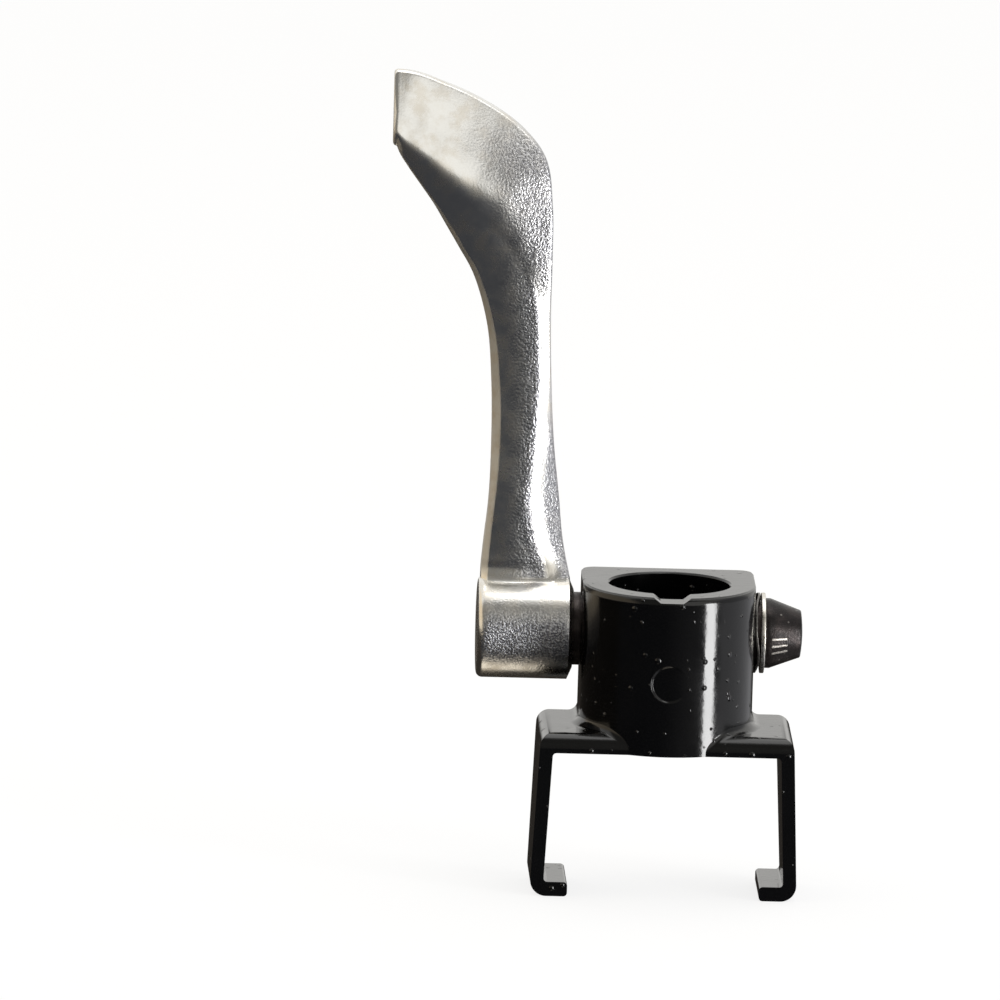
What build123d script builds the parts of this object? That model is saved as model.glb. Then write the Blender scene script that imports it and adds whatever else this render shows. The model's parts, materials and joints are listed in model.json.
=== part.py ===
from build123d import *
from math import cos, radians, sin
import os

# Quick-release cam lever, in millimetres.
# A cast housing sits on a clip-on bracket and holds a waisted stud in its upright bore.
# A cam shaft crosses the housing behind the bore's axis. A swept hand lever turns it.
# The origin is on the bore's axis at the bracket's underside. +Z runs up the bore,
# the cam shaft lies along X with the lever at its -X end, and -Y is the front.

# Housing
bore_radius = 7.95
housing_radius = 11.35
housing_back = 10.8
housing_height = 21.2
back_corner_radius = 2.0
rim_bevel = 0.25
bore_bevel = 0.25
notch_depth = 0.7
notch_floor_width = 3.0
notch_mouth_width = 4.9

# Bracket
flange_thickness = 2.5
flange_setback = 1.15
flange_back = 7.7
flange_front_round = 2.0
flange_cove = 1.3
leg_length = 17.2
leg_thickness = 1.75
leg_gap_top = 30.0
leg_gap_foot = 31.5
leg_foot_depth = 12.9
hook_reach = 3.15
hook_thickness = 1.9
shoulder_round = 1.7
heel_round = 2.1
hook_tip_round = 0.5
inner_round = 0.5

# Cam shaft
cam_depth = 7.4
cam_offset = 5.6
journal_radius = 4.3
collar_radius = 4.8
collar_length = 0.95
spigot_radius = 4.0
spigot_length = 10.4
stud_radius = 2.5
stud_length = 4.4
shaft_edge = 0.3
running_clearance = 0.05
relief_clearance = 0.05
face_clearance = 0.1
press_clearance = 0.01

# Lever
hub_radius = 6.7
hub_length = 12.6
hub_outer_bevel = 0.7
hub_inner_bevel = 0.9
bevel_steepness = 1.3
edge_break = 0.4

# Pin, washers and nut
pin_radius = 1.25
pin_wall = 0.5
pin_slot = 0.6
pin_recess = 0.3
pin_reach = 5.2
washer_radius = 5.3
washer_fit = 0.15
wave_thickness = 0.3
wave_rise = 0.19
wave_count = 3
crest_share = 0.85
valley_share = 0.2
wave_bend = 4.0
washer_thickness = 0.55
nut_base_radius = 4.6
nut_tip_radius = 3.1
nut_length = 5.0
nut_land = 0.7
nut_crown = 0.25

# Places that follow from the sizes above, and the slack for finding edges by place
hair = 0.001
flange_front = housing_radius - flange_setback
cam_height = housing_height - cam_depth
hook_top = -leg_length
hook_bottom = hook_top - hook_thickness
collar_start = -(housing_radius + face_clearance)
hub_right = collar_start - collar_length
hub_left = hub_right - hub_length
hub_middle = (hub_left + hub_right) / 2
wave_height = wave_thickness + 2 * wave_rise
shoulder_x = housing_radius + wave_height + 2 * washer_fit
nut_start = shoulder_x + washer_thickness
cam_axis_plane = Plane(origin=(0, cam_offset, cam_height), x_dir=(0, 1, 0), z_dir=(1, 0, 0))

os.makedirs("parts", exist_ok=True)


# The housing is one casting. Its bracket is a bent-strap outline seen from the front,
# trimmed to its side outline, and its barrel is a half round with a square back.
leg_slope = (leg_gap_foot - leg_gap_top) / 2 / leg_length
half_gap_top = leg_gap_top / 2
half_gap_foot = leg_gap_foot / 2
heel_x = half_gap_foot + leg_thickness + leg_slope * hook_thickness
hook_tip_x = half_gap_foot - hook_reach
right_strap = [
    (half_gap_top + leg_thickness - leg_slope * flange_thickness, flange_thickness),
    (heel_x, hook_bottom),
    (hook_tip_x, hook_bottom),
    (hook_tip_x, hook_top),
    (half_gap_foot, hook_top),
    (half_gap_top, 0),
]
right_rounds = [shoulder_round, heel_round, hook_tip_round, hook_tip_round, inner_round, inner_round]
left_strap = [(-x, z) for x, z in reversed(right_strap)]

with BuildPart() as housing:
    with BuildSketch(Plane.XZ.offset(flange_front)) as strap:
        with BuildLine():
            FilletPolyline(*right_strap, *left_strap, radius=right_rounds + right_rounds[::-1], close=True)
        make_face()
    extrude(amount=-(flange_front + flange_back))
    foot_back = leg_foot_depth - flange_front
    side_outline = [
        (-flange_front, hook_bottom),
        (-flange_front, flange_thickness),
        (flange_back, flange_thickness),
        (flange_back, 0),
        (foot_back, hook_top),
        (foot_back, hook_bottom),
    ]
    with BuildSketch(Plane.YZ) as side:
        with BuildLine():
            FilletPolyline(*side_outline, radius=[0, flange_front_round, 0, 0, 0, 0], close=True)
        make_face()
    extrude(amount=heel_x, both=True, mode=Mode.INTERSECT)
    with BuildSketch() as barrel_plan:
        with BuildLine():
            ThreePointArc((-housing_radius, 0), (0, -housing_radius), (housing_radius, 0))
            Polyline(
                (housing_radius, 0),
                (housing_radius, housing_back),
                (-housing_radius, housing_back),
                (-housing_radius, 0),
            )
        make_face()
        fillet(barrel_plan.vertices().group_by(Axis.Y)[-1], back_corner_radius)
    extrude(amount=housing_height)
    flange_seam = [
        edge
        for edge in housing.edges().filter_by(lambda e: abs(e.center().Z - flange_thickness) < hair)
        if abs(edge.center().X) < housing_radius + hair
        and edge.center().Y > -flange_front + flange_front_round
        and edge.center().Y < flange_back - hair
    ]
    fillet(flange_seam, flange_cove)
    chamfer(housing.faces().sort_by(Axis.Z)[-1].outer_wire().edges(), rim_bevel)
    with Locations((0, 0, housing_height)):
        Hole(bore_radius)
    chamfer(housing.faces().sort_by(Axis.Z)[-1].inner_wires()[0].edges(), bore_bevel)
    with BuildSketch(Plane.XZ) as notch:
        notch_floor = housing_height - notch_depth
        notch_slope = (notch_mouth_width - notch_floor_width) / 2 / notch_depth
        notch_top_width = notch_mouth_width / 2 + notch_slope * notch_depth
        Polygon(
            (-notch_floor_width / 2, notch_floor),
            (notch_floor_width / 2, notch_floor),
            (notch_top_width, housing_height + notch_depth),
            (-notch_top_width, housing_height + notch_depth),
            align=None,
        )
    extrude(amount=housing_radius, mode=Mode.SUBTRACT)
    with BuildSketch(cam_axis_plane) as cross_bore:
        Circle(journal_radius + running_clearance)
    extrude(amount=housing_radius, both=True, mode=Mode.SUBTRACT)
housing.part.label = "housing"


# The cam shaft is turned, then cleared by a cylinder on the bore's own axis, which
# leaves a crescent behind the bore. A quarter turn swings the crescent into the bore.
relief_radius = bore_radius + relief_clearance
with BuildPart() as cam_shaft:
    with BuildSketch(cam_axis_plane.offset(hub_right - spigot_length)):
        Circle(spigot_radius)
    extrude(amount=spigot_length)
    with BuildSketch(cam_axis_plane.offset(hub_right)):
        Circle(collar_radius)
    extrude(amount=collar_length)
    with BuildSketch(cam_axis_plane.offset(collar_start)):
        Circle(journal_radius)
    extrude(amount=shoulder_x - collar_start)
    with BuildSketch(cam_axis_plane.offset(shoulder_x)):
        Circle(stud_radius)
    extrude(amount=stud_length)
    chamfer(cam_shaft.faces().sort_by(Axis.X)[0].edges(), shaft_edge)
    chamfer(cam_shaft.faces().sort_by(Axis.X)[-1].edges(), shaft_edge)
    with BuildSketch() as relief:
        Circle(relief_radius)
    extrude(amount=housing_height, mode=Mode.SUBTRACT)
    with BuildSketch(Plane.XZ.offset(-(cam_offset + hub_radius))) as pin_hole:
        with Locations((hub_middle, cam_height)):
            Circle(pin_radius + press_clearance)
    extrude(amount=2 * hub_radius, mode=Mode.SUBTRACT)
cam_shaft.part.label = "cam_shaft"


# The lever is one casting. Each station is a seven-cornered section that stands across
# the arm, with its back and outer corners broken. It is given from the hub's middle on
# the cam axis: inner (lower left) x and z, outer (upper right) x and z, the inner bevel's
# width, the shares of the way across at which the ridge and the shoulder lie, how far
# the front stands forward of the axis at the inner edge, ridge, shoulder and outer edge,
# and where the back lies at both edges.
lever_stations = [
    ((-6.0, 4.6), (5.75, 4.6), 0.8, (0.68, 0.85), (4.2, 4.5, 4.4, 4.2), (-4.0, -4.0)),
    ((-6.0, 6.4), (5.75, 6.4), 0.8, (0.68, 0.85), (1.95, 2.05, 2.0, 1.9), (-2.9, -2.9)),
    ((-6.0, 7.5), (5.55, 7.5), 0.8, (0.68, 0.86), (1.3, 1.45, 1.3, 1.1), (-2.7, -2.7)),
    ((-5.9, 9.2), (5.15, 9.3), 0.8, (0.66, 0.84), (1.25, 1.45, 0.9, 0.3), (-2.6, -2.6)),
    ((-5.7, 11.6), (4.7, 11.7), 0.75, (0.60, 0.78), (1.3, 1.6, 0.8, -0.6), (-2.6, -2.6)),
    ((-5.25, 16.6), (4.1, 16.9), 0.7, (0.52, 0.70), (1.5, 1.9, 1.0, -1.2), (-2.6, -2.7)),
    ((-5.1, 24.6), (3.1, 24.9), 1.0, (0.67, 0.86), (1.6, 2.1, 1.3, 0.2), (-2.5, -2.3)),
    ((-5.35, 32.7), (2.5, 33.0), 1.0, (0.77, 0.90), (1.6, 2.2, 1.6, 1.1), (-2.3, -1.9)),
    ((-6.2, 40.5), (2.15, 41.8), 0.8, (0.78, 0.90), (1.6, 2.3, 1.8, 1.4), (-2.2, -1.6)),
    ((-8.3, 47.3), (2.1, 50.0), 0.7, (0.68, 0.85), (1.6, 2.5, 2.3, 2.0), (-2.0, -1.2)),
    ((-10.2, 50.6), (1.95, 56.2), 0.6, (0.52, 0.76), (1.6, 2.8, 2.3, 1.6), (-1.8, -1.5)),
    ((-11.9, 53.4), (1.0, 62.2), 0.5, (0.38, 0.70), (1.5, 3.1, 1.9, 0.2), (-1.6, -2.7)),
    ((-13.65, 56.3), (-2.2, 66.1), 0.3, (0.30, 0.65), (1.5, 3.2, 0.7, -1.9), (-1.4, -4.5)),
    ((-15.5, 58.9), (-7.3, 69.5), 0.2, (0.26, 0.63), (1.6, 3.1, 0.2, -2.6), (-1.1, -4.8)),
    ((-17.3, 61.4), (-12.6, 71.9), 0.2, (0.22, 0.61), (1.8, 2.8, 0.3, -2.2), (-0.6, -4.1)),
    ((-18.8, 63.4), (-18.0, 73.7), 0.2, (0.18, 0.59), (1.8, 2.4, 0.5, -1.5), (0.0, -3.1)),
    ((-19.3, 64.3), (-19.2, 73.0), 0.2, (0.18, 0.59), (1.4, 1.9, 0.1, -1.6), (0.4, -2.8)),
]


def lever_section(station):
    """One section of the lever as a sketch that stands at its station."""
    inner, outer, bevel, (ridge, shoulder), fronts, backs = station
    start = Vector(hub_middle + inner[0], cam_offset, cam_height + inner[1])
    end = Vector(hub_middle + outer[0], cam_offset, cam_height + outer[1])
    across = end - start
    width = across.length
    corners = [
        (edge_break, backs[0]),
        (0, backs[0] + edge_break),
        (0, fronts[0] - bevel_steepness * bevel),
        (bevel, fronts[0]),
        (ridge * width, fronts[1]),
        (shoulder * width, fronts[2]),
        (width - edge_break, fronts[3]),
        (width, fronts[3] - edge_break),
        (width, backs[1] + edge_break),
        (width - edge_break, backs[1]),
    ]
    with BuildSketch(Plane(origin=start, x_dir=across, z_dir=across.cross(Vector(0, -1, 0)))) as section:
        Polygon(*corners, align=None)
    return section.sketch


with BuildPart() as lever:
    with BuildSketch(cam_axis_plane.offset(hub_left)):
        Circle(hub_radius)
    extrude(amount=hub_length)
    chamfer(lever.faces().sort_by(Axis.X)[0].edges(), hub_outer_bevel)
    chamfer(lever.faces().sort_by(Axis.X)[-1].edges(), hub_inner_bevel)
    add([lever_section(station) for station in lever_stations])
    loft()
    with BuildSketch(cam_axis_plane.offset(hub_right - spigot_length - face_clearance)):
        Circle(spigot_radius + press_clearance)
    extrude(amount=spigot_length + face_clearance, mode=Mode.SUBTRACT)
    with BuildSketch(Plane.XZ.offset(-(cam_offset + hub_radius))):
        with Locations((hub_middle, cam_height)):
            Circle(pin_radius + press_clearance)
    extrude(amount=hub_radius + pin_reach + face_clearance, mode=Mode.SUBTRACT)
lever.part.label = "lever"


# The spring pin is a rolled tube, slotted along its length and driven in from behind.
pin_length = hub_radius - pin_recess + pin_reach
with BuildPart() as roll_pin:
    with BuildSketch(Plane.XZ.offset(-(cam_offset + hub_radius - pin_recess))) as pin_ring:
        with Locations((hub_middle, cam_height)):
            Circle(pin_radius)
            Circle(pin_radius - pin_wall, mode=Mode.SUBTRACT)
            with Locations((0, pin_radius)):
                Rectangle(pin_slot, 2 * pin_radius, mode=Mode.SUBTRACT)
    extrude(amount=pin_length)
roll_pin.part.label = "roll_pin"


# The wave washer is a flat ring pressed into equal waves. Each wave is a ribbon, seen
# edge on along its valley, trimmed to its own sector of the ring.
wave_inner = journal_radius + washer_fit
wave_centre = housing_radius + washer_fit + wave_height / 2
half_sector = 180 / wave_count
valley = wave_inner * sin(radians(half_sector))
ribbon_line = [
    (-washer_radius, wave_rise),
    (-valley * crest_share, wave_rise),
    (-valley * valley_share, -wave_rise),
    (valley * valley_share, -wave_rise),
    (valley * crest_share, wave_rise),
    (washer_radius, wave_rise),
]
ribbon = [(x, y - wave_thickness / 2) for x, y in ribbon_line]
ribbon += [(x, y + wave_thickness / 2) for x, y in reversed(ribbon_line)]
bends = [0] + [wave_bend] * (len(ribbon_line) - 2) + [0]
shaft_line = Axis((0, cam_offset, cam_height), (1, 0, 0))
with BuildPart() as one_wave:
    with BuildSketch(Plane(origin=(wave_centre, cam_offset, cam_height), x_dir=(0, 1, 0), z_dir=(0, 0, 1))):
        with BuildLine():
            FilletPolyline(*ribbon, radius=bends + bends, close=True)
        make_face()
    extrude(amount=washer_radius)
    with BuildSketch(cam_axis_plane.offset(wave_centre - wave_height)):
        Circle(washer_radius)
        Circle(wave_inner, mode=Mode.SUBTRACT)
        sector = Polygon(
            (0, 0),
            (2 * washer_radius * sin(radians(half_sector)), 2 * washer_radius * cos(radians(half_sector))),
            (-2 * washer_radius * sin(radians(half_sector)), 2 * washer_radius * cos(radians(half_sector))),
            align=None,
            mode=Mode.INTERSECT,
        )
    extrude(amount=2 * wave_height, mode=Mode.INTERSECT)
with BuildPart() as wave_washer:
    for turn in range(wave_count):
        add(one_wave.part.rotate(shaft_line, turn * 2 * half_sector))
wave_washer.part.label = "wave_washer"


# The flat washer is clamped between the shaft's shoulder and the nut, and turns with them.
with BuildPart() as flat_washer:
    with BuildSketch(cam_axis_plane.offset(shoulder_x)) as washer_ring:
        Circle(washer_radius)
        Circle(stud_radius + press_clearance, mode=Mode.SUBTRACT)
    extrude(amount=washer_thickness)
flat_washer.part.label = "flat_washer"


# The end nut is turned: a short land, a long taper and a crowned blind end.
with BuildPart() as end_nut:
    with BuildSketch(Plane.XY) as nut_profile:
        with BuildLine():
            nut_end = nut_start + nut_length
            taper = Polyline(
                (nut_start, 0),
                (nut_start, nut_base_radius),
                (nut_start + nut_land, nut_base_radius),
                (nut_end - nut_crown, nut_tip_radius),
            )
            RadiusArc(taper @ 1, (nut_end, 0), (nut_tip_radius**2 + nut_crown**2) / (2 * nut_crown))
            Line((nut_end, 0), (nut_start, 0))
        make_face()
    revolve(axis=Axis.X)
    with BuildSketch(Plane.YZ.offset(nut_start)):
        Circle(stud_radius + press_clearance)
    extrude(amount=stud_length - washer_thickness + face_clearance, mode=Mode.SUBTRACT)
end_nut.part.label = "end_nut"
end_nut.part.locate(Location((0, cam_offset, cam_height)))

for piece in (housing, cam_shaft, lever, roll_pin, wave_washer, flat_washer, end_nut):
    export_step(piece.part, f"parts/{piece.part.label}.step")
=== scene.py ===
import json
import math

import bmesh
import bpy
import numpy as np
from mathutils import Matrix, Vector


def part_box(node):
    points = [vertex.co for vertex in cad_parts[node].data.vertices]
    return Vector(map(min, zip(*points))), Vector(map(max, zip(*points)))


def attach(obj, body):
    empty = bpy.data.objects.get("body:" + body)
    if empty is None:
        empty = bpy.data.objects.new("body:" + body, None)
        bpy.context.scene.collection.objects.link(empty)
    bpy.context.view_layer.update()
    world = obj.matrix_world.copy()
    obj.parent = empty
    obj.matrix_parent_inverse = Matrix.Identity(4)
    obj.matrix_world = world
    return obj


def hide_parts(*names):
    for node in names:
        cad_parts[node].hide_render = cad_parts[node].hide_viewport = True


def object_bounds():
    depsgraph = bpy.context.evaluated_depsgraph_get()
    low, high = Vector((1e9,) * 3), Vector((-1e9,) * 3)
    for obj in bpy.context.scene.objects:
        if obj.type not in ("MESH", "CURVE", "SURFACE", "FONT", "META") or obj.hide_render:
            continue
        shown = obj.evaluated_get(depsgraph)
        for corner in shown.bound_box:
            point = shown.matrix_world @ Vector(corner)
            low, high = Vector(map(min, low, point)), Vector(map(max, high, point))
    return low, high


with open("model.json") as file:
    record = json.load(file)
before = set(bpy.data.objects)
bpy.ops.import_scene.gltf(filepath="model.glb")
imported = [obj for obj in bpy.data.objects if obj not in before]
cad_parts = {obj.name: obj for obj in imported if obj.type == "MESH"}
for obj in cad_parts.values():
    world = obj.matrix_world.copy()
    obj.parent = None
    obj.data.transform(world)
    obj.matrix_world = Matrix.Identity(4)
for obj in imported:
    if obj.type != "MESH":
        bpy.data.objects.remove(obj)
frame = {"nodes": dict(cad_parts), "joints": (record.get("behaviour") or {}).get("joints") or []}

cad_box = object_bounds()
mm = 0.001

# Camera. A long lens a little above the object and a touch to its left, turned so that
# the lever side stands slightly higher than the nut side. It is set out from the axis
# that the lever turns about.
VIEW_ELEVATION = math.radians(10.3)
VIEW_AZIMUTH = math.radians(2.0)
VIEW_ROLL = math.radians(1.8)
VIEW_DISTANCE = 4000 * mm
VIEW_WIDTH = 131.6 * mm
SHAFT_RIGHT_OF_CENTRE = 21.91 * mm
SHAFT_BELOW_CENTRE = 17.17 * mm
SENSOR_WIDTH = 36.0
NEAREST_SEEN = 10 * mm
CAM_AXIS = Vector(frame["joints"][0]["pos_m"])

away = Vector((
    -math.sin(VIEW_AZIMUTH) * math.cos(VIEW_ELEVATION),
    -math.cos(VIEW_AZIMUTH) * math.cos(VIEW_ELEVATION),
    math.sin(VIEW_ELEVATION),
))
level_right = Vector((math.cos(VIEW_AZIMUTH), -math.sin(VIEW_AZIMUTH), 0))
level_up = away.cross(level_right)
view_right = math.cos(VIEW_ROLL) * level_right + math.sin(VIEW_ROLL) * level_up
view_up = away.cross(view_right)
target = CAM_AXIS - SHAFT_RIGHT_OF_CENTRE * view_right + SHAFT_BELOW_CENTRE * view_up
camera = bpy.data.objects.new("camera", bpy.data.cameras.new("camera"))
camera.data.sensor_width = SENSOR_WIDTH
camera.data.lens = SENSOR_WIDTH * VIEW_DISTANCE / VIEW_WIDTH
camera.data.clip_start = NEAREST_SEEN
axes = Matrix((view_right, view_up, away)).transposed().to_4x4()
camera.matrix_world = Matrix.Translation(target + VIEW_DISTANCE * away) @ axes
bpy.context.collection.objects.link(camera)
bpy.context.scene.camera = camera
bpy.context.scene.view_settings.view_transform = "Standard"


# Studio. A white sweep lit from overhead and by a tall strip lamp at the right, with a big
# soft box at the upper right and a darker room on the camera's side. Reflections see a
# dark table below, and the floor shows only a faint share of the object's shadow.
SWEEP_WHITE = (0.96, 0.95, 0.92, 1)
TABLE_DARK = (0.030, 0.026, 0.022, 1)
SHEET_CREAM = (1.0, 0.90, 0.74, 1)
ROOM_WALL = (0.20, 0.195, 0.18, 1)
ROOM_LOW_LEFT = (0.040, 0.042, 0.048, 1)
ROOM_LOW_RIGHT = (0.13, 0.13, 0.135, 1)
RIGHT_GREY = (0.46, 0.46, 0.47, 1)
RIGHT_LOW = (0.64, 0.64, 0.66, 1)
LEFT_TAN = (0.90, 0.77, 0.58, 1)
SOFT_BOX = (0.98, 0.97, 0.93, 1)
SOFT_BOX_DIRECTION = (0.575, -0.725, 0.37)
PURE_WHITE = (1, 1, 1, 1)
LAMP_DISTANCE = 700 * mm
FLOOR_SIZE = 16.0
FLOOR_SHADOW_SHARE = 0.22
FLOOR_PAPER = (0.9, 0.9, 0.9, 1)
FLOOR_GLOW = 1.05


def add_node(tree, kind, feeds=(), **settings):
    """One shader node. Settings are its properties, feeds pairs inputs with values or outputs."""
    node = tree.nodes.new(kind)
    for name, value in settings.items():
        setattr(node, name, value)
    for name, value in feeds:
        if isinstance(value, bpy.types.NodeSocket):
            tree.links.new(value, node.inputs[name])
        else:
            node.inputs[name].default_value = value
    return node


def maths(tree, operation, first, second=0.0, clamp=False):
    """A Math node's output for two values or sockets."""
    feeds = ((0, first), (1, second))
    return add_node(tree, "ShaderNodeMath", feeds, operation=operation, use_clamp=clamp).outputs[0]


def plus(tree, first, second, clamp=False):
    """The sum of two values or sockets."""
    return maths(tree, "ADD", first, second, clamp)


def times(tree, first, second, clamp=False):
    """The product of two values or sockets."""
    return maths(tree, "MULTIPLY", first, second, clamp)


def vector_maths(tree, operation, first, second=(0, 0, 0)):
    """A Vector Math node for two vectors or sockets. Its outputs are a vector and a value."""
    return add_node(tree, "ShaderNodeVectorMath", ((0, first), (1, second)), operation=operation).outputs


def parts_of(tree, vector):
    """A vector's x, y and z, as three sockets."""
    return add_node(tree, "ShaderNodeSeparateXYZ", ((0, vector),)).outputs


def ramp_between(tree, value, low, high, out_low=0.0, out_high=1.0):
    """A smooth step: out_low below low, out_high above high, and an S curve between."""
    feeds = ((0, value), (1, low), (2, high), (3, out_low), (4, out_high))
    return add_node(tree, "ShaderNodeMapRange", feeds, interpolation_type="SMOOTHSTEP").outputs[0]


def mixed(tree, share, first, second):
    """A colour that goes from first to second as share goes from 0 to 1."""
    feeds = ((0, share), (6, first), (7, second))
    return add_node(tree, "ShaderNodeMix", feeds, data_type="RGBA").outputs[2]


def seen_directly(tree):
    """1 for rays that come straight from the camera, 0 for the rays that light the object."""
    return add_node(tree, "ShaderNodeLightPath").outputs["Is Camera Ray"]


# Each ramp's two numbers are where one tone of the surroundings starts to give way to the
# next and where it has, as the part of a direction that points right, back or up.
world = bpy.data.worlds.new("studio")
bpy.context.scene.world = world
world.use_nodes = True
tree = world.node_tree
tree.nodes.clear()
direction = add_node(tree, "ShaderNodeTexCoord").outputs["Generated"]
to_right, to_back, upward = parts_of(tree, direction)
low = mixed(tree, ramp_between(tree, to_right, 0.30, 0.60), TABLE_DARK, RIGHT_LOW)
high = mixed(tree, ramp_between(tree, to_right, 0.70, 0.85), SWEEP_WHITE, RIGHT_GREY)
surround = mixed(tree, ramp_between(tree, upward, 0.02, -0.10), high, low)
surround = mixed(tree, ramp_between(tree, upward, -0.94, -0.975), surround, SHEET_CREAM)
room_low = mixed(tree, ramp_between(tree, to_right, -0.2, 0.6), ROOM_LOW_LEFT, ROOM_LOW_RIGHT)
room = mixed(tree, ramp_between(tree, upward, 0.06, -0.16), ROOM_WALL, room_low)
studio = mixed(tree, ramp_between(tree, to_back, -0.20, -0.42), surround, room)
far_left = ramp_between(tree, to_right, -0.60, -0.82)
above_table = ramp_between(tree, upward, -0.10, 0.02)
studio = mixed(tree, times(tree, far_left, above_table), studio, LEFT_TAN)
toward_box = vector_maths(tree, "DOT_PRODUCT", direction, SOFT_BOX_DIRECTION)["Value"]
in_box = ramp_between(tree, toward_box, 0.84, 0.93)
above_box_foot = ramp_between(tree, upward, -0.13, 0.02)
studio = mixed(tree, times(tree, in_box, above_box_foot), studio, SOFT_BOX)
studio = mixed(tree, seen_directly(tree), studio, PURE_WHITE)
background = add_node(tree, "ShaderNodeBackground", (("Color", studio), ("Strength", 1.0)))
add_node(tree, "ShaderNodeOutputWorld", (("Surface", background.outputs[0]),))


def lamp(name, direction, width, height, radiance):
    """A lamp facing the cam axis from a direction, of a given size and surface brightness."""
    light = bpy.data.lights.new(name, "AREA")
    light.shape = "RECTANGLE"
    light.size = width
    light.size_y = height
    light.energy = radiance * math.pi * width * height
    box = bpy.data.objects.new(name, light)
    toward = Vector(direction).normalized()
    box.location = CAM_AXIS + LAMP_DISTANCE * toward
    box.rotation_euler = toward.to_track_quat("Z", "Y").to_euler()
    box.visible_camera = False
    bpy.context.collection.objects.link(box)


lamp("overhead_lamp", (0.1, 0.12, 0.99), width=560 * mm, height=460 * mm, radiance=1.35)
lamp("strip_lamp", (0.82, -0.555, -0.12), width=180 * mm, height=560 * mm, radiance=18.0)

floor_corners = np.array([(-1, -1, 0), (1, -1, 0), (1, 1, 0), (-1, 1, 0)]) * FLOOR_SIZE / 2
floor_corners[:, 2] = cad_box[0][2]
floor_mesh = bpy.data.meshes.new("floor")
floor_mesh.from_pydata(floor_corners.tolist(), [], [(0, 1, 2, 3)])
floor = bpy.data.objects.new("floor", floor_mesh)
floor.visible_glossy = False
floor.visible_shadow = False
bpy.context.collection.objects.link(floor)
paper = bpy.data.materials.new("white_sweep")
paper.use_nodes = True
tree = paper.node_tree
tree.nodes.clear()
lit = add_node(tree, "ShaderNodeBsdfDiffuse", (("Color", FLOOR_PAPER),))
glow = add_node(tree, "ShaderNodeEmission", (("Color", PURE_WHITE), ("Strength", FLOOR_GLOW)))
share = times(tree, seen_directly(tree), 1 - FLOOR_SHADOW_SHARE)
mix = add_node(tree, "ShaderNodeMixShader", ((0, share), (1, lit.outputs[0]), (2, glow.outputs[0])))
add_node(tree, "ShaderNodeOutputMaterial", (("Surface", mix.outputs[0]),))
floor_mesh.materials.append(paper)


# Housing. One die casting, barrel and clip-on bracket together, under thick gloss black
# enamel. The enamel rounds every edge, holds a few dust nibs and lets the shallow round
# mark of an ejector pin show through at the barrel's front.
housing_low, housing_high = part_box("housing")
BARREL_RADIUS = -housing_low.y
BARREL_TOLERANCE = (0.06 * mm, 0.03 * mm)
RIM_HEIGHT = housing_high.z
RIM_ROUND = 1.0 * mm
OUTER_WALL_FROM = 9.6 * mm
ENAMEL_BLACK = (0.0012, 0.0012, 0.0013, 1)
ENAMEL_ROUGHNESS = (0.09, 0.17)
ENAMEL_PATCHES = (0.3, 0.75)
ENAMEL_RIPPLE = 0.8 * mm
ENAMEL_RIPPLE_HEIGHT = 0.011 * mm
NIB_SPACING = 1.6 * mm
NIB_SIZE = 0.42 * mm
NIB_HEIGHT = 0.16 * mm
EJECTOR_CENTRE = (0, -BARREL_RADIUS, 9.7 * mm)
EJECTOR_RADIUS = 2.35 * mm
EJECTOR_STEP = 0.17 * mm
EJECTOR_DEPTH = 0.36 * mm
BACKWARD_SHARE = 0.15
HOUSING_ARRIS = 0.2 * mm
MERGE_WITHIN = 0.0005 * mm
FLAT_WITHIN = math.radians(0.4)
ARRIS_FROM = math.radians(32)


def new_group(name, inputs, outputs):
    """An empty node group with float inputs and outputs, and its two ends."""
    group = bpy.data.node_groups.new(name, "ShaderNodeTree")
    for label, value in inputs:
        socket = group.interface.new_socket(name=label, in_out="INPUT", socket_type="NodeSocketFloat")
        socket.default_value = value
    for label in outputs:
        group.interface.new_socket(name=label, in_out="OUTPUT", socket_type="NodeSocketFloat")
    return group, group.nodes.new("NodeGroupInput"), group.nodes.new("NodeGroupOutput")


def object_point(tree):
    """The point's own place on the object, in metres."""
    return add_node(tree, "ShaderNodeTexCoord").outputs["Object"]


def noise(tree, point, scale, detail, roughness=0.5):
    """Smooth noise about 0.5 with so many bumps to the metre."""
    feeds = (("Vector", point), ("Scale", scale), ("Detail", detail), ("Roughness", roughness))
    return add_node(tree, "ShaderNodeTexNoise", feeds).outputs[0]


# The casting skin that every piece shares: a fine rolling grain, broad patches about eight
# times its size, and round specks at a given spacing, each with a size of its own.
skin, skin_in, skin_out = new_group(
    "casting_skin",
    (("Grain Size", 0.5 * mm), ("Speck Spacing", 2.5 * mm), ("Speck Size", 0.2 * mm)),
    ("Grain", "Specks", "Broad"),
)
here = object_point(skin)
grain_scale = maths(skin, "DIVIDE", 1.0, skin_in.outputs["Grain Size"])
grain = noise(skin, here, grain_scale, 2.0)
broad = noise(skin, here, times(skin, grain_scale, 0.12), 3.0, 0.55)
speck_scale = maths(skin, "DIVIDE", 1.0, skin_in.outputs["Speck Spacing"])
cells = add_node(skin, "ShaderNodeTexVoronoi", (("Vector", here), ("Scale", speck_scale)), feature="F1")
own_size = add_node(skin, "ShaderNodeSeparateColor", ((0, cells.outputs["Color"]),)).outputs[0]
reach = times(skin, times(skin, skin_in.outputs["Speck Size"], speck_scale), own_size)
speck_share = maths(skin, "DIVIDE", cells.outputs["Distance"], reach)
speck = maths(skin, "SUBTRACT", 1.0, times(skin, speck_share, speck_share), clamp=True)
skin.links.new(grain, skin_out.inputs["Grain"])
skin.links.new(speck, skin_out.inputs["Specks"])
skin.links.new(broad, skin_out.inputs["Broad"])


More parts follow.
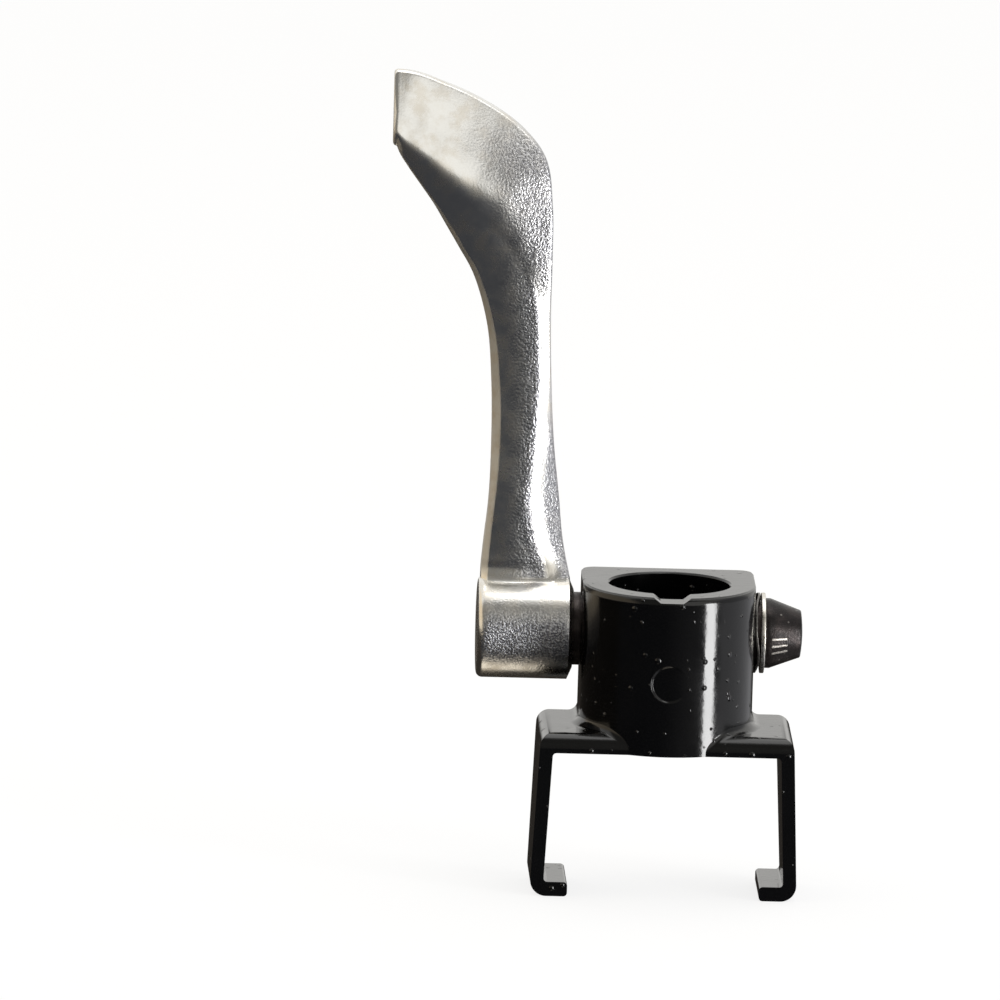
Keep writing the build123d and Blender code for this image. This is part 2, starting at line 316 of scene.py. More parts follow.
def with_skin(tree, grain_size, specks=None):
    """The shared casting skin, set to this piece's own grain and, where it shows specks,
    to their spacing and size."""
    node = add_node(tree, "ShaderNodeGroup", (("Grain Size", grain_size),), node_tree=skin)
    if specks is not None:
        spacing, size = specks
        node.inputs["Speck Spacing"].default_value = spacing
        node.inputs["Speck Size"].default_value = size
    return node.outputs


def bumped(tree, height, depth, below=None):
    """A Bump node's normal for a height in 0 to 1 that stands depth metres tall."""
    feeds = [("Height", height), ("Distance", depth), ("Strength", 1.0)]
    if below is not None:
        feeds.append(("Normal", below))
    return add_node(tree, "ShaderNodeBump", feeds).outputs[0]


def new_finish(name):
    """A material with an empty Principled surface, its node tree and its shader."""
    finish = bpy.data.materials.new(name)
    finish.use_nodes = True
    finish.node_tree.nodes.clear()
    shader = add_node(finish.node_tree, "ShaderNodeBsdfPrincipled")
    add_node(finish.node_tree, "ShaderNodeOutputMaterial", (("Surface", shader.outputs[0]),))
    return finish, finish.node_tree, shader


def barrel_normal(tree, outer_wall, off_axis, backward):
    """The shading normal. On the barrel's round front it points straight out from the
    bore's axis, so that reflections run smooth there, and elsewhere it is the surface's own."""
    in_front = maths(tree, "LESS_THAN", backward, 0.0)
    off_barrel = maths(tree, "ABSOLUTE", maths(tree, "SUBTRACT", off_axis, BARREL_RADIUS))
    on_barrel = times(tree, ramp_between(tree, off_barrel, *BARREL_TOLERANCE), in_front)
    turned = {"vector_type": "NORMAL", "convert_from": "OBJECT", "convert_to": "WORLD"}
    outward = add_node(tree, "ShaderNodeVectorTransform", ((0, outer_wall),), **turned).outputs[0]
    surface_normal = add_node(tree, "ShaderNodeNewGeometry").outputs["Normal"]
    feeds = ((0, on_barrel), (4, surface_normal), (5, outward))
    return add_node(tree, "ShaderNodeMix", feeds, data_type="VECTOR").outputs[1]


def rim_fall(tree, off_axis, height):
    """How far the outside walls fall away toward the rim, in rim rounds: half the square
    of how far into the round a point lies."""
    into_rim = maths(tree, "SUBTRACT", height, RIM_HEIGHT - RIM_ROUND)
    into_rim = maths(tree, "DIVIDE", into_rim, RIM_ROUND, clamp=True)
    falling = times(tree, times(tree, into_rim, into_rim), -0.5)
    return times(tree, falling, maths(tree, "GREATER_THAN", off_axis, OUTER_WALL_FROM))


def above_ejector_mark(tree, here):
    """1 outside the ejector pin's mark, and less inside it. The mark is deepest at its
    left edge and runs out to nothing at its right. Only a share of the way backward
    counts in its radius, so that it stays round where the wall curves away."""
    from_centre = vector_maths(tree, "SUBTRACT", here, EJECTOR_CENTRE)[0]
    flattened = vector_maths(tree, "MULTIPLY", from_centre, (1, BACKWARD_SHARE, 1))[0]
    distance = vector_maths(tree, "LENGTH", flattened)["Value"]
    inside = ramp_between(tree, distance, EJECTOR_RADIUS + EJECTOR_STEP, EJECTOR_RADIUS - EJECTOR_STEP)
    rightward = parts_of(tree, from_centre)[0]
    sunken = times(tree, inside, ramp_between(tree, rightward, EJECTOR_RADIUS, -EJECTOR_RADIUS))
    return maths(tree, "SUBTRACT", 1.0, sunken)


enamel, tree, shader = new_finish("gloss_black_enamel")
surface = with_skin(tree, ENAMEL_RIPPLE, (NIB_SPACING, NIB_SIZE))
here = object_point(tree)
backward, height = parts_of(tree, here)[1:]
outer_wall = vector_maths(tree, "MULTIPLY", here, (1, 1, 0))[0]
off_axis = vector_maths(tree, "LENGTH", outer_wall)["Value"]
relief = barrel_normal(tree, outer_wall, off_axis, backward)
relief = bumped(tree, rim_fall(tree, off_axis, height), RIM_ROUND, relief)
relief = bumped(tree, surface["Grain"], ENAMEL_RIPPLE_HEIGHT, relief)
relief = bumped(tree, surface["Specks"], NIB_HEIGHT, relief)
relief = bumped(tree, above_ejector_mark(tree, here), EJECTOR_DEPTH, relief)
gloss = ramp_between(tree, surface["Broad"], *ENAMEL_PATCHES, *ENAMEL_ROUGHNESS)
shader.inputs["Base Color"].default_value = ENAMEL_BLACK
tree.links.new(gloss, shader.inputs["Roughness"])
tree.links.new(relief, shader.inputs["Normal"])


def own_copy(node, name, arris):
    """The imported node's mesh with its loose triangles merged into flat faces, and each
    arris eased by a small round, as paint, plating or a tumbling barrel leaves it."""
    mesh = frame["nodes"][node].data.copy()
    mesh.name = name
    shell = bmesh.new()
    shell.from_mesh(mesh)
    bmesh.ops.remove_doubles(shell, verts=shell.verts, dist=MERGE_WITHIN)
    bmesh.ops.dissolve_limit(shell, angle_limit=FLAT_WITHIN, verts=shell.verts, edges=shell.edges)
    shell.to_mesh(mesh)
    shell.free()
    mesh.materials.clear()
    mesh.shade_smooth()
    piece = bpy.data.objects.new(name, mesh)
    bpy.context.collection.objects.link(piece)
    ease = piece.modifiers.new("eased_arrises", "BEVEL")
    ease.width = arris
    ease.segments = 2
    ease.limit_method = "ANGLE"
    ease.angle_limit = ARRIS_FROM
    ease.use_clamp_overlap = True
    even = piece.modifiers.new("even_shading", "WEIGHTED_NORMAL")
    even.keep_sharp = True
    return piece


def stands_for(piece, node, body, finish):
    """Gives a piece its finish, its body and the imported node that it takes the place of."""
    piece.data.materials.append(finish)
    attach(piece, body)
    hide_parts(node)


enamelled_housing = own_copy("housing", "enamelled_housing", HOUSING_ARRIS)
stands_for(enamelled_housing, "housing", "housing_body", enamel)


# Cam shaft. Turned steel, blackened. It runs across the housing and carries the lever on
# its left end, against a collar, and the nut on its right.
SHAFT_ARRIS = 0.08 * mm
PATCH_RANGE = (0.35, 0.7)
NOISE_RANGE = (0.3, 0.7)


def metal_finish(name, grain_size, shades, metallic, roughness, grain_height, specks=None):
    """A metal finish in two shades that part into broad patches. The grain stands up as a
    fine relief and moves the roughness between two values. Gives the material, its tree,
    its shader and the skin, colour and relief that a piece may build on."""
    finish, tree, shader = new_finish(name)
    surface = with_skin(tree, grain_size, specks)
    shade = mixed(tree, ramp_between(tree, surface["Broad"], *PATCH_RANGE), *shades)
    dullness = ramp_between(tree, surface["Grain"], *NOISE_RANGE, *roughness)
    relief = bumped(tree, surface["Grain"], grain_height)
    shader.inputs["Metallic"].default_value = metallic
    tree.links.new(shade, shader.inputs["Base Color"])
    tree.links.new(dullness, shader.inputs["Roughness"])
    tree.links.new(relief, shader.inputs["Normal"])
    return finish, tree, shader, surface, shade, relief


blackened = metal_finish(
    "blackened_steel",
    grain_size=0.25 * mm,
    shades=((0.026, 0.019, 0.018, 1), (0.075, 0.062, 0.058, 1)),
    metallic=0.7,
    roughness=(0.30, 0.5),
    grain_height=0.012 * mm,
)[0]
turned_cam_shaft = own_copy("cam_shaft", "turned_cam_shaft", SHAFT_ARRIS)
stands_for(turned_cam_shaft, "cam_shaft", "lever_body", blackened)


# Lever. One zinc casting with a bright plated skin: a round hub, and an arm that sweeps
# inward, flattens and twists into a paddle. Buffing before plating left the coarse skin on
# its front, its knee and round the hub. Sizes without mm are in millimetres.
lever_low, lever_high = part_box("lever")
HUB_HALF_LENGTH = 6.3
HUB_MIDDLE = round(lever_high.x / mm - HUB_HALF_LENGTH, 3)
HUB_RADIUS = round((lever_high.y - CAM_AXIS.y) / mm, 3)
HUB_OUTER_ROUND = 0.8
HUB_INNER_SLOPE = (0.65, 1.5)
HUB_STEPS = 144
NEAR_AXIS = 0.3
SPIGOT_RADIUS = 4.01
SPIGOT_DEPTH = 10.5
SPIGOT_STEPS = 96
PIN_RADIUS = 1.26
PIN_REACH = 5.3
PIN_STEPS = 48
BEVEL_STEEPNESS = 1.3
EDGE_ROUND = 0.5
BEVEL_BACK_ROUND = 0.25
BEVEL_FRONT_ROUND = 0.35
RIDGE_ROUND = 2.2
SHOULDER_ROUND = 1.2
EDGE_SWELLS = (0.002, 0.01, 0.0075, 0.004, 0.004, 0.004, 0.003)
TIP_ROUND = 0.5
WOBBLE = 0.012
ROWS = 320
CORNER_STEPS = 7
EDGE_STEPS = 7
TIP_STEPS = 8
MOST_CUT = 0.47

# Each station is a section across the arm, set out from the hub's middle: the inner edge's
# x and z, the outer edge's x and z, the inner bevel's width, the shares of the way across
# at which the ridge and the shoulder lie, how far forward the inner edge, the ridge, the
# shoulder and the outer edge stand, and where the back lies at both edges.
STATIONS = np.array([
    (-6.0, 4.6, 5.75, 4.6, 0.8, 0.68, 0.85, 4.2, 4.5, 4.4, 4.2, -4.0, -4.0),
    (-6.0, 6.4, 5.75, 6.4, 0.8, 0.68, 0.85, 1.95, 2.05, 2.0, 1.9, -2.9, -2.9),
    (-6.0, 7.5, 5.55, 7.5, 0.8, 0.68, 0.86, 1.3, 1.45, 1.3, 1.1, -2.7, -2.7),
    (-5.9, 9.2, 5.15, 9.3, 0.8, 0.66, 0.84, 1.25, 1.45, 0.9, -0.2, -2.6, -2.6),
    (-5.7, 11.6, 4.7, 11.7, 0.75, 0.60, 0.79, 1.3, 1.6, 0.9, -1.3, -2.6, -2.6),
    (-5.25, 16.6, 4.1, 16.9, 0.7, 0.54, 0.73, 1.5, 1.9, 1.1, -1.7, -2.6, -2.7),
    (-5.1, 24.6, 3.1, 24.9, 1.0, 0.67, 0.86, 1.6, 2.1, 1.3, 0.0, -2.5, -2.3),
    (-5.35, 32.7, 2.5, 33.0, 1.0, 0.77, 0.90, 1.6, 2.2, 1.6, 1.1, -2.3, -1.9),
    (-6.2, 40.5, 2.15, 41.8, 0.8, 0.78, 0.90, 1.6, 2.3, 1.8, 1.4, -2.2, -1.6),
    (-8.3, 47.3, 2.1, 50.0, 0.7, 0.68, 0.85, 1.6, 2.5, 2.3, 2.0, -2.0, -1.2),
    (-10.2, 50.6, 1.95, 56.2, 0.6, 0.52, 0.76, 1.6, 2.8, 2.3, 1.6, -1.8, -1.5),
    (-11.9, 53.4, 1.0, 62.2, 0.5, 0.38, 0.70, 1.5, 3.1, 1.9, 0.2, -1.6, -2.7),
    (-13.65, 56.3, -2.2, 66.1, 0.3, 0.30, 0.65, 1.5, 3.2, 0.7, -1.9, -1.4, -4.5),
    (-15.5, 58.9, -7.3, 69.5, 0.2, 0.26, 0.63, 1.6, 3.1, 0.2, -2.6, -1.1, -4.8),
    (-17.3, 61.4, -12.6, 71.9, 0.2, 0.22, 0.61, 1.8, 2.8, 0.3, -2.2, -0.6, -4.1),
    (-18.5, 63.3, -17.2, 73.45, 0.2, 0.18, 0.59, 1.8, 2.6, 0.4, -1.7, 0.0, -3.3),
    (-18.8, 64.0, -18.75, 73.6, 0.2, 0.18, 0.59, 1.7, 2.5, 0.4, -1.6, 0.2, -3.0),
])


def eased_rows(table, count):
    """Rows between the given ones: a cubic through each column over the distance that
    the section's middle travels, with each slope taken from the rows on both sides."""
    middle = (table[:, 0:2] + table[:, 2:4]) / 2
    travel = np.concatenate(([0], np.cumsum(np.linalg.norm(np.diff(middle, axis=0), axis=1))))
    slope = np.gradient(table, travel, axis=0)
    at = np.linspace(0, travel[-1], count)
    left = np.clip(np.searchsorted(travel, at, side="right") - 1, 0, len(travel) - 2)
    span = (travel[left + 1] - travel[left])[:, None]
    t = (at[:, None] - travel[left][:, None]) / span
    return (
        (2 * t**3 - 3 * t**2 + 1) * table[left]
        + (t**3 - 2 * t**2 + t) * span * slope[left]
        + (3 * t**2 - 2 * t**3) * table[left + 1]
        + (t**3 - t**2) * span * slope[left + 1]
    )


def rounded_ring(corners, cuts, swells):
    """A closed ring round a polygon. Each corner is a parabola between points that lie
    its cut away along both edges, or as far as short edges leave room for. Each edge
    between swells outward by its swell times the square of its length."""
    before = np.roll(corners, 1, axis=1)
    after = np.roll(corners, -1, axis=1)
    back = before - corners
    ahead = after - corners
    back_length = np.linalg.norm(back, axis=2, keepdims=True)
    ahead_length = np.linalg.norm(ahead, axis=2, keepdims=True)
    cut = np.minimum(cuts, MOST_CUT * np.minimum(back_length, ahead_length))
    start = corners + back / back_length * cut
    end = corners + ahead / ahead_length * cut
    t = np.linspace(0, 1, CORNER_STEPS)[None, None, :, None]
    turn = (
        (1 - t) ** 2 * start[:, :, None]
        + 2 * t * (1 - t) * corners[:, :, None]
        + t**2 * end[:, :, None]
    )
    m = np.linspace(0, 1, EDGE_STEPS + 2)[1:-1][None, None, :, None]
    following = np.roll(start, -1, axis=1)
    run = following - end
    inward = np.stack((run[..., 1], -run[..., 0]), axis=-1) / np.linalg.norm(run, axis=2, keepdims=True)
    crown = 4 * swells * np.sum(run**2, axis=2, keepdims=True)
    edge = end[:, :, None] + m * run[:, :, None] - m * (1 - m) * (crown * inward)[:, :, None]
    return np.concatenate((turn, edge), axis=2).reshape(len(corners), -1, 2)


def arm_points():
    """The arm's surface: at each station a seven-cornered section that stands across the
    arm, laid from its inner to its outer edge, with depth counted toward the front. Two
    slow sine waves that cross each other make it as uneven as a hand-polished casting.
    At the tip the last section shrinks along a quarter round."""
    rows = eased_rows(STATIONS, ROWS)
    inner, outer = rows[:, 0:2], rows[:, 2:4]
    bevel, ridge, shoulder = rows[:, 4:7].T
    inner_front, ridge_front, shoulder_front, outer_front = rows[:, 7:11].T
    inner_back, outer_back = rows[:, 11:].T
    across = outer - inner
    width = np.linalg.norm(across, axis=1)
    none = np.zeros_like(width)
    corners = np.stack([
        np.stack((none, inner_back), axis=1),
        np.stack((none, inner_front - BEVEL_STEEPNESS * bevel), axis=1),
        np.stack((bevel, inner_front), axis=1),
        np.stack((ridge * width, ridge_front), axis=1),
        np.stack((shoulder * width, shoulder_front), axis=1),
        np.stack((width, outer_front), axis=1),
        np.stack((width, outer_back), axis=1),
    ], axis=1)
    cuts = np.array((
        EDGE_ROUND,
        BEVEL_BACK_ROUND,
        BEVEL_FRONT_ROUND,
        RIDGE_ROUND,
        SHOULDER_ROUND,
        EDGE_ROUND,
        EDGE_ROUND,
    ))
    swells = np.array(EDGE_SWELLS)
    ring = rounded_ring(corners, cuts[None, :, None], swells[None, :, None])
    along = across / width[:, None]
    x = inner[:, :1] + ring[..., 0] * along[:, :1]
    z = inner[:, 1:] + ring[..., 0] * along[:, 1:]
    depth = ring[..., 1] + WOBBLE * (np.sin(1.2 * x + 0.9 * z) + np.sin(1.7 * x - 0.65 * z + 1.3))
    points = np.stack((HUB_MIDDLE + x, CAM_AXIS.y / mm - depth, CAM_AXIS.z / mm + z), axis=2)
    middle = points[-1].mean(axis=0)
    spokes = points[-1] - middle
    length = np.linalg.norm(spokes, axis=1, keepdims=True)
    turn = np.radians(np.linspace(0, 90, TIP_STEPS)[1:])[:, None, None]
    shrink = 1 - TIP_ROUND * (1 - np.cos(turn)) / length
    tip = middle + spokes * shrink + TIP_ROUND * np.sin(turn) * np.array((-1.0, 0, 0))
    return np.concatenate((points, tip))


def closed_tube(name, rings):
    """A mesh of quads between neighbouring rings, with a point closing each end. Points
    that fall together are merged."""
    rows, columns = rings.shape[:2]
    ends = (rings[:1].mean(axis=1), rings[-1:].mean(axis=1))
    points = np.concatenate((rings.reshape(-1, 3), *ends)) * mm
    row, column = np.meshgrid(np.arange(rows - 1), np.arange(columns), indexing="ij")
    here = row * columns + column
    beside = row * columns + (column + 1) % columns
    quads = np.stack((here, beside, beside + columns, here + columns), axis=2).reshape(-1, 4)
    first = np.arange(columns)
    following = (first + 1) % columns
    last = (rows - 1) * columns
    foot = np.stack((following, first, np.full(columns, rows * columns)), axis=1)
    tip = np.stack((last + first, last + following, np.full(columns, rows * columns + 1)), axis=1)
    mesh = bpy.data.meshes.new(name)
    mesh.from_pydata(points.tolist(), [], quads.tolist() + foot.tolist() + tip.tolist())
    shell = bmesh.new()
    shell.from_mesh(mesh)
    bmesh.ops.remove_doubles(shell, verts=shell.verts, dist=MERGE_WITHIN)
    bmesh.ops.recalc_face_normals(shell, faces=shell.faces)
    shell.to_mesh(mesh)
    shell.free()
    piece = bpy.data.objects.new(name, mesh)
    bpy.context.collection.objects.link(piece)
    return piece


def turned_rings(profile, steps):
    """Rings of a turned piece: each profile point, given as a place along X from the hub's
    middle and a radius, carried round the cam axis."""
    angle = np.linspace(0, 2 * np.pi, steps, endpoint=False)[None]
    profile = np.asarray(profile)
    x = HUB_MIDDLE + profile[:, :1] + 0 * angle
    y = CAM_AXIS.y / mm + profile[:, 1:] * np.cos(angle)
    z = CAM_AXIS.z / mm + profile[:, 1:] * np.sin(angle)
    return np.stack((x, y, z), axis=2)


def quarter(x, r, radius, start, end, steps=7):
    """Points of a quarter round about (x, r) from one angle to another, in degrees."""
    angle = np.radians(np.linspace(start, end, steps))
    return [(x + radius * math.cos(a), r + radius * math.sin(a)) for a in angle]


def hub_profile():
    """The hub's outline from its left face's middle to its bore's end: a flat face, a
    quarter round, a long cylinder, a slope down to the right face, and the bore."""
    half = HUB_HALF_LENGTH
    flat_radius = HUB_RADIUS - HUB_OUTER_ROUND
    slope_length, slope_depth = HUB_INNER_SLOPE
    profile = [(-half, r) for r in np.linspace(NEAR_AXIS, flat_radius, 8)]
    profile += quarter(-half + HUB_OUTER_ROUND, flat_radius, HUB_OUTER_ROUND, 180, 90)[1:]
    profile += [(x, HUB_RADIUS) for x in np.linspace(-half + HUB_OUTER_ROUND, half - slope_length, 16)[1:]]
    profile += [(half, HUB_RADIUS - slope_depth), (half, SPIGOT_RADIUS)]
    profile += [(half - SPIGOT_DEPTH, SPIGOT_RADIUS), (half - SPIGOT_DEPTH, NEAR_AXIS)]
    return profile


def spigot_profile():
    """The outline of the hub's bore, run 1 mm past the hub's right face."""
    start = HUB_HALF_LENGTH - SPIGOT_DEPTH
    end = HUB_HALF_LENGTH + 1
    return [(start, NEAR_AXIS), (start, SPIGOT_RADIUS), (end, SPIGOT_RADIUS), (end, NEAR_AXIS)]


def pin_rings():
    """Two rings of the roll pin's hole, which runs forward from 1 mm behind the hub."""
    angle = np.linspace(0, 2 * np.pi, PIN_STEPS, endpoint=False)[None]
    depth = np.array([-PIN_REACH, HUB_RADIUS + 1])[:, None]
    return np.stack((
        HUB_MIDDLE + PIN_RADIUS * np.cos(angle) + 0 * depth,
        CAM_AXIS.y / mm + depth + 0 * angle,
        CAM_AXIS.z / mm + PIN_RADIUS * np.sin(angle) + 0 * depth,
    ), axis=2)


def joined(target, cutters, operation):
    """The target's mesh after an exact boolean with each cutter, which is then removed."""
    for cutter in cutters:
        step = target.modifiers.new(operation, "BOOLEAN")
        step.operation = operation
        step.object = cutter
        step.solver = "EXACT"
    bpy.context.view_layer.update()
    evaluated = target.evaluated_get(bpy.context.evaluated_depsgraph_get())
    mesh = bpy.data.meshes.new_from_object(evaluated)
    target.modifiers.clear()
    target.data = mesh
    for cutter in cutters:
        bpy.data.objects.remove(cutter)


plated_lever = closed_tube("plated_lever", turned_rings(hub_profile(), HUB_STEPS))
arm = closed_tube("arm", arm_points())
spigot_hole = closed_tube("spigot_hole", turned_rings(spigot_profile(), SPIGOT_STEPS))
pin_hole = closed_tube("pin_hole", pin_rings())
joined(plated_lever, [arm], "UNION")
joined(plated_lever, [spigot_hole, pin_hole], "DIFFERENCE")
plated_lever.data.shade_smooth()
plated_lever.data.set_sharp_from_angle(angle=ARRIS_FROM)

# Where the coarse skin is left. Each pair of heights above the cam axis is where the skin
# starts to change and where it has. Each share is one of the way across the arm, and beside
# the ridge and the shoulder it is counted from their own lines. The belt's middle and spread
# are in degrees up from the hub's front, and its ends are counted from the hub's middle.
FRONT_COARSE = 0.85
FRONT_FADES = (44, 52)
FRONT_FROM_SHARE = 0.2
RIDGE_FADE_SHARES = (0.02, 0.09)
CORNER_COARSE = 0.75
CORNER_FADES = (24, 30)
SHOULDER_GROWTH_SHARES = (-0.02, 0.07)
KNEE_COARSE = 0.8
KNEE_STARTS = (42, 50)
KNEE_FADES = (61, 69)
KNEE_FADES_BY = 0.9
KNEE_SHARES = (0.35, 0.9)
BELT_COARSE = 1.6
BELT_ANGLE = -4
BELT_SPREAD = 24
BELT_ENDS = (5.0, 6.1)
ARM_FROM = HUB_RADIUS + 0.3


def eased_step(value, low, high):
    """0 below low, 1 above high and an S curve between."""
    t = np.clip((value - low) / (high - low), 0, 1)
    return t * t * (3 - 2 * t)


def coarse_share(points):
    """How coarse the skin is at each point, from 0 for smooth. The arm's front grows coarse
    toward the ridge and stops there, the outer corner near the foot and the whole knee stay
    coarse, and the hub keeps a belt round its middle that fades like a bell to both sides."""
    x = points[:, 0] / mm - HUB_MIDDLE
    y = points[:, 1] / mm - CAM_AXIS.y / mm
    z = points[:, 2] / mm - CAM_AXIS.z / mm
    inner_x = np.interp(z, STATIONS[:, 1], STATIONS[:, 0])
    outer_x = np.interp(z, STATIONS[:, 3], STATIONS[:, 2])
    ridge = np.interp(z, STATIONS[:, 3], STATIONS[:, 5])
    shoulder = np.interp(z, STATIONS[:, 3], STATIONS[:, 6])
    share = (x - inner_x) / np.maximum(outer_x - inner_x, 1)
    before_ridge = 1 - eased_step(share - ridge, *RIDGE_FADE_SHARES)
    up_to_ridge = eased_step(share, FRONT_FROM_SHARE, ridge) * before_ridge
    front = FRONT_COARSE * up_to_ridge * (1 - eased_step(z, *FRONT_FADES))
    past_shoulder = eased_step(share - shoulder, *SHOULDER_GROWTH_SHARES)
    corner = CORNER_COARSE * past_shoulder * (1 - eased_step(z, *CORNER_FADES))
    up_the_knee = eased_step(z, *KNEE_STARTS) * (1 - KNEE_FADES_BY * eased_step(z, *KNEE_FADES))
    knee = KNEE_COARSE * eased_step(share, *KNEE_SHARES) * up_the_knee
    arm_coarse = np.maximum(np.maximum(front, corner), knee)
    angle = np.degrees(np.arctan2(z, -y))
    belt = BELT_COARSE * np.exp(-((angle - BELT_ANGLE) / BELT_SPREAD) ** 2)
    belt *= 1 - eased_step(np.abs(x), *BELT_ENDS)
    return np.where(z > ARM_FROM, arm_coarse, belt)


place = np.zeros(3 * len(plated_lever.data.vertices))
plated_lever.data.vertices.foreach_get("co", place)
coarse = plated_lever.data.attributes.new("coarse_skin", "FLOAT", "POINT")
coarse.data.foreach_set("value", coarse_share(place.reshape(-1, 3)))

# The plating is bright where it was buffed, and matt where the skin is coarse, with painted shade
# darkening the hollows of its grain there. The arm's left sides were left as cast, and fine streaks run
# along the arm.
PLATE_BRIGHT = (0.87, 0.86, 0.83, 1)
PLATE_WARM = (0.78, 0.74, 0.67, 1)
PLATE_MATT = (0.54, 0.54, 0.56, 1)
# Painted shade for the coarse skin's pits.
PIT_PAINTED_SHADE = (0.24, 0.24, 0.26, 1)
PLATE_PATCHES = (0.4, 0.7)
PIT_GRAIN = (0.60, 0.42)
PLATE_GRAIN = 0.28 * mm
GRAIN_HEIGHT = 0.17 * mm
SMOOTH_GRAIN_SHARE = 0.05
STREAK_WIDTH = 0.35 * mm
STREAK_HEIGHT = 0.004 * mm
STREAK_STRETCH = 20
BUFFED_ROUGHNESS = (0.20, 0.29)
COARSE_ROUGHNESS = 0.15
AS_CAST_ROUGHNESS = 0.36
LEFTWARD_FACING = (0.35, 0.60)
AS_CAST_FROM = (CAM_AXIS.z + 6.4 * mm, CAM_AXIS.z + 7.6 * mm)

plating, tree, shader = new_finish("plated_casting")
surface = with_skin(tree, PLATE_GRAIN)
here = object_point(tree)
coarse_here = add_node(tree, "ShaderNodeAttribute", attribute_name="coarse_skin").outputs["Fac"]
tint = mixed(tree, ramp_between(tree, surface["Broad"], *PLATE_PATCHES), PLATE_BRIGHT, PLATE_WARM)
matt = mixed(tree, coarse_here, tint, PLATE_MATT)
# Painted shade: where the skin is coarse, the colour is darkened in the grain's hollows.
in_pit = times(tree, ramp_between(tree, surface["Grain"], *PIT_GRAIN), coarse_here, clamp=True)
tree.links.new(mixed(tree, in_pit, matt, PIT_PAINTED_SHADE), shader.inputs["Base Color"])
shader.inputs["Metallic"].default_value = 1.0
own_normal = add_node(tree, "ShaderNodeTexCoord").outputs["Normal"]
facing_left = times(tree, parts_of(tree, own_normal)[0], -1.0)
on_arm = ramp_between(tree, parts_of(tree, here)[2], *AS_CAST_FROM)
as_cast = times(tree, ramp_between(tree, facing_left, *LEFTWARD_FACING), on_arm)
roughness = ramp_between(tree, surface["Broad"], *NOISE_RANGE, *BUFFED_ROUGHNESS)
roughness = plus(tree, roughness, times(tree, as_cast, AS_CAST_ROUGHNESS))
roughness = plus(tree, roughness, times(tree, coarse_here, COARSE_ROUGHNESS))
tree.links.new(roughness, shader.inputs["Roughness"])
stretched = vector_maths(tree, "MULTIPLY", here, (1, 1, 1 / STREAK_STRETCH))[0]
relief = bumped(tree, noise(tree, stretched, 1 / STREAK_WIDTH, 1.0), STREAK_HEIGHT)
grain_share = plus(tree, coarse_here, SMOOTH_GRAIN_SHARE)
relief = bumped(tree, times(tree, surface["Grain"], grain_share), GRAIN_HEIGHT, relief)
tree.links.new(relief, shader.inputs["Normal"])
stands_for(plated_lever, "lever", "lever_body", plating)


# Roll pin and wave washer. Both are blued spring steel. The pin is rolled from strip and
# locks the lever to the shaft. The washer is stamped and pressed into waves, and takes up
# the play at the housing's right side.
PIN_ARRIS = 0.06 * mm
WAVE_ARRIS = 0.05 * mm
blued = metal_finish(
    "blued_spring_steel",
    grain_size=0.2 * mm,
    shades=((0.10, 0.095, 0.09, 1), (0.20, 0.19, 0.175, 1)),
    metallic=0.9,
    roughness=(0.25, 0.42),
    grain_height=0.004 * mm,
)[0]
sprung_roll_pin = own_copy("roll_pin", "sprung_roll_pin", PIN_ARRIS)
stands_for(sprung_roll_pin, "roll_pin", "lever_body", blued)
sprung_washer = own_copy("wave_washer", "sprung_washer", WAVE_ARRIS)
stands_for(sprung_washer, "wave_washer", "housing_body", blued)


# Flat washer. Stamped steel, bright zinc-plated. The end nut clamps it against the
# shaft's shoulder.
FLAT_ARRIS = 0.08 * mm
zinc = metal_finish(
    "bright_zinc",
    grain_size=0.3 * mm,
    shades=((0.80, 0.78, 0.74, 1), (0.62, 0.58, 0.50, 1)),
    metallic=1.0,
    roughness=(0.22, 0.38),
    grain_height=0.006 * mm,
)[0]
bright_washer = own_copy("flat_washer", "bright_washer", FLAT_ARRIS)
stands_for(bright_washer, "flat_washer", "lever_body", zinc)
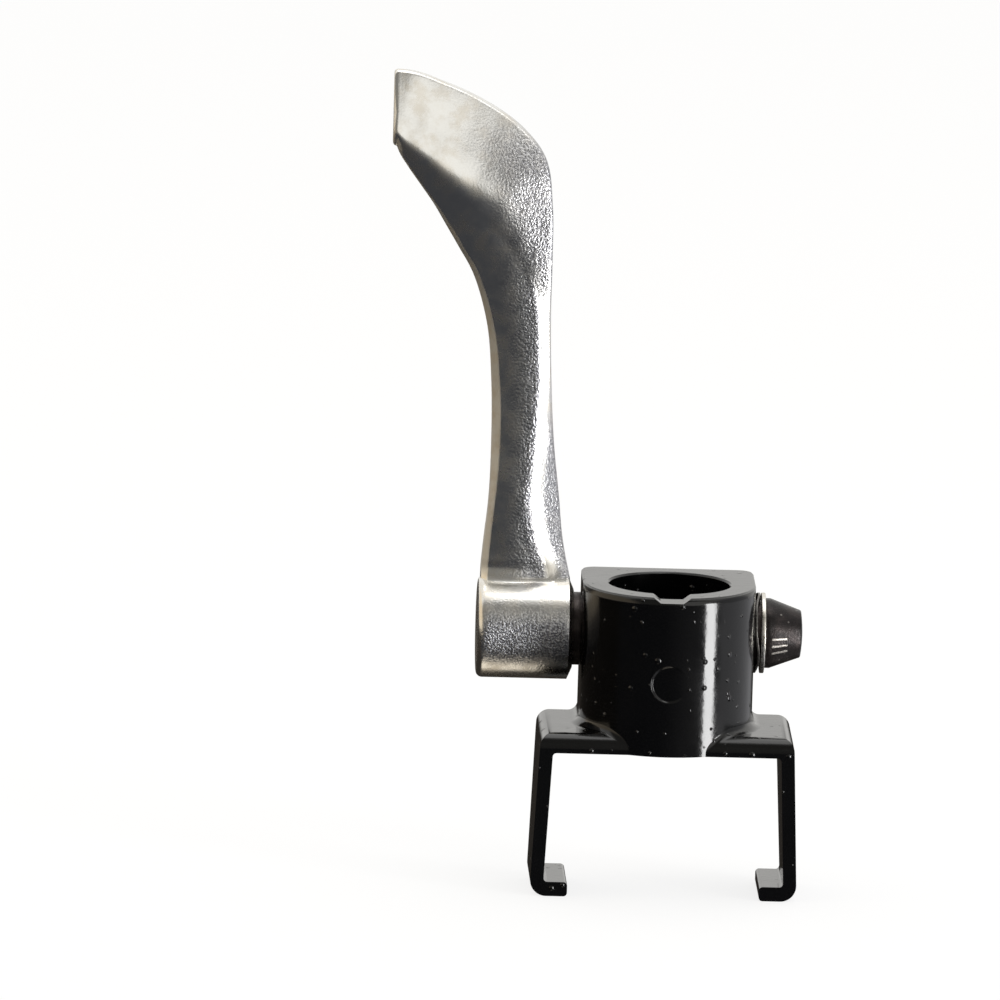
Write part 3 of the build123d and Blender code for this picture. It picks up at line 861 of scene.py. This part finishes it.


# End nut. A tapered nut in blackened steel, tumbled to a fine grain and screwed on the shaft's end. Three
# plain bars stand up from its taper, side by side along its length. Their tops and a few specks are
# painted bright, partly as wear from handling and partly as a painted highlight for the glint off the
# raised relief.
NUT_ARRIS = 0.15 * mm
BAR_COUNT = 3
BAR_ANGLE = 14
BAR_SPACING = 13
BAR_MIDDLE = 14.8 * mm
BAR_HALF_LENGTH = 1.1 * mm
BAR_HALF_WIDTH = 0.22 * mm
BAR_HEIGHT = 0.22 * mm
BAR_END_SLOPE = 0.12 * mm
WEAR_AND_GLINT_COLOUR = (0.46, 0.43, 0.40, 1)
WEAR_AND_GLINT_SHARE = 0.8
SPECK_WEAR_AND_GLINT = 0.5


def plain_bars(tree):
    """1 on the bars and 0 between them. A bar is where a point lies close to a plane that
    holds the cam axis, and not far from the bars' middle along it."""
    from_axis = vector_maths(tree, "SUBTRACT", object_point(tree), tuple(CAM_AXIS))[0]
    along_axis, behind, above = parts_of(tree, from_axis)
    lengthways = maths(tree, "ABSOLUTE", maths(tree, "SUBTRACT", along_axis, BAR_MIDDLE))
    along_bar = ramp_between(tree, lengthways, BAR_HALF_LENGTH, BAR_HALF_LENGTH - BAR_END_SLOPE)
    bars = 0.0
    for number in range(BAR_COUNT):
        angle = math.radians((number - (BAR_COUNT - 1) / 2) * BAR_SPACING - BAR_ANGLE)
        raised = times(tree, above, math.cos(angle))
        sideways = maths(tree, "ABSOLUTE", plus(tree, raised, times(tree, behind, math.sin(angle))))
        across_bar = ramp_between(tree, sideways, BAR_HALF_WIDTH, BAR_HALF_WIDTH / 2)
        bars = plus(tree, bars, times(tree, across_bar, along_bar))
    return times(tree, bars, maths(tree, "LESS_THAN", behind, 0.0))


tumbled, tree, shader, surface, shade, relief = metal_finish(
    "tumbled_black_steel",
    grain_size=0.22 * mm,
    shades=((0.012, 0.010, 0.010, 1), (0.034, 0.027, 0.026, 1)),
    metallic=0.7,
    roughness=(0.26, 0.42),
    grain_height=0.03 * mm,
    specks=(1.0 * mm, 0.2 * mm),
)
bars = plain_bars(tree)
# Bars and specks painted bright: wear together with a painted highlight.
wear_and_glint = plus(tree, bars, times(tree, surface["Specks"], SPECK_WEAR_AND_GLINT), clamp=True)
colour = mixed(tree, times(tree, wear_and_glint, WEAR_AND_GLINT_SHARE), shade, WEAR_AND_GLINT_COLOUR)
tree.links.new(colour, shader.inputs["Base Color"])
tree.links.new(bumped(tree, bars, BAR_HEIGHT, relief), shader.inputs["Normal"])
tapered_nut = own_copy("end_nut", "tapered_nut", NUT_ARRIS)
stands_for(tapered_nut, "end_nut", "lever_body", tumbled)
